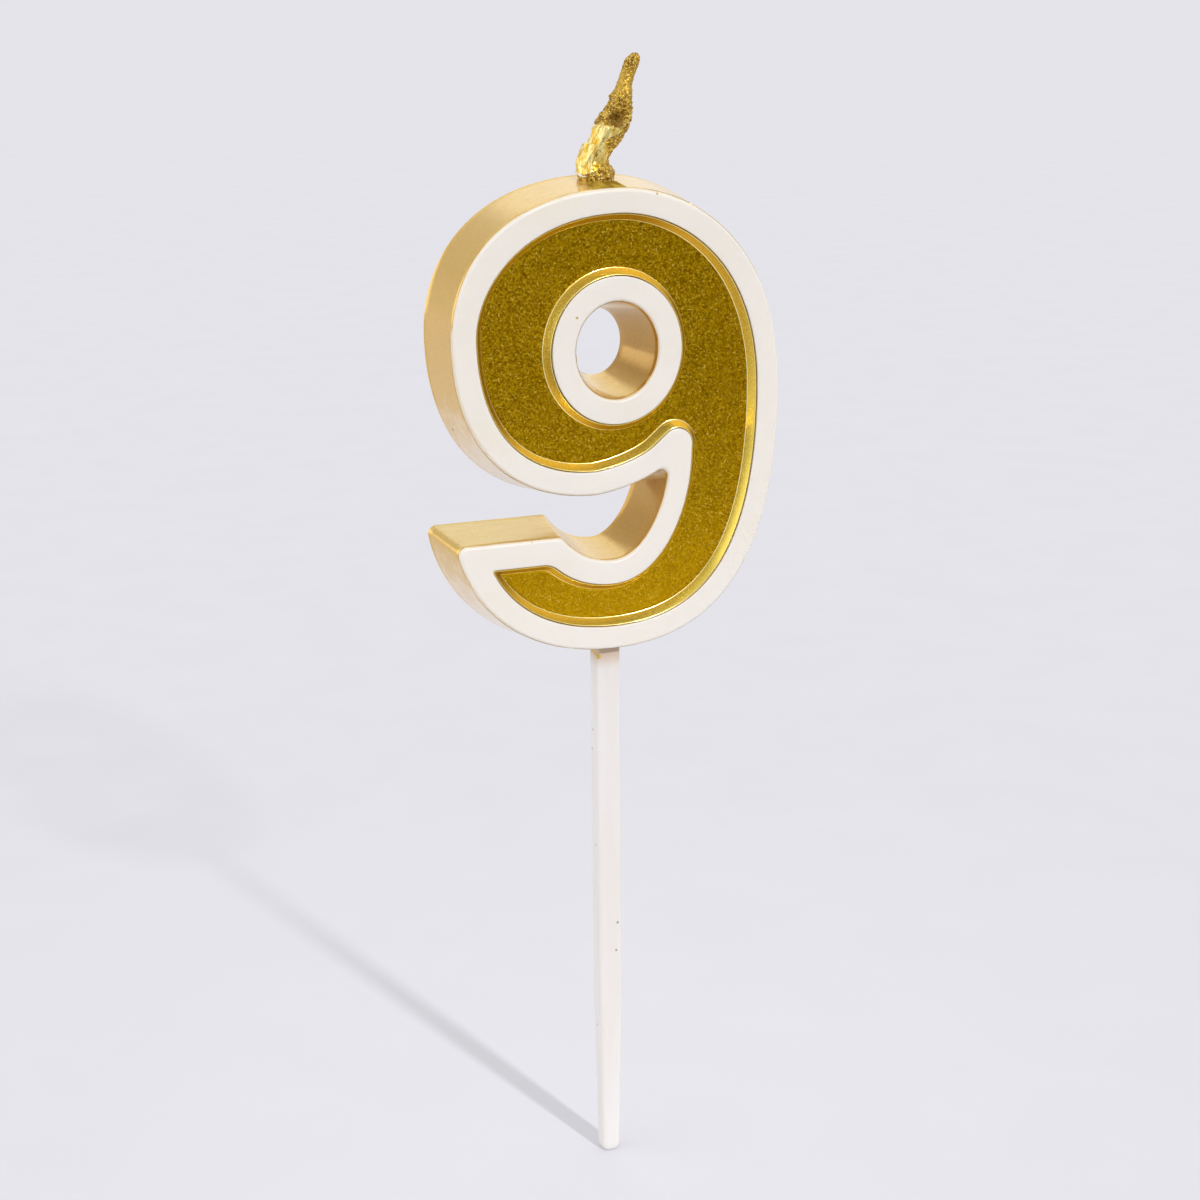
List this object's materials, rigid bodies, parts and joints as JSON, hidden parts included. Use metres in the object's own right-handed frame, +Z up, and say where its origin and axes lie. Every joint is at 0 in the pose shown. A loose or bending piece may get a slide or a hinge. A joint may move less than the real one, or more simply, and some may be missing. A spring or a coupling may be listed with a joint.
{
  "type": "number candle",
  "caption": "Birthday candle shaped like the digit nine, gold with raised white borders and a leaning gold wick, on a slim white pick pushed into a cake.",
  "frame": {"origin": "middle of the flat tip of the pick, the end that goes into the cake", "axes": "+Z up along the pick, +X to the right of someone reading the digit, +Y from the front to the back"},
  "size_m": [0.0434, 0.0082, 0.1401],
  "materials": {
    "gold_coat": "pale champagne gold lacquer on cast wax, satin",
    "white_wax": "ivory white wax, soft satin sheen",
    "panel_gold": "deep olive gold powder lacquer with fine sparkle",
    "wick_gold": "crumbly gold wax over cotton",
    "gold_foil": "flaky bright gold foil",
    "white_plastic": "white moulded plastic, soft gloss"
  },
  "bodies": {
    "root": {"digit_body": "gold_coat", "outer_border": "white_wax", "counter_border": "white_wax", "gold_panel": "panel_gold", "wick_core": "wick_gold", "wick_lower_coat": "gold_foil", "wick_upper_coat": "wick_gold", "wick_collar": "gold_foil", "cake_pick": "white_plastic"}
  },
  "joints": []
}
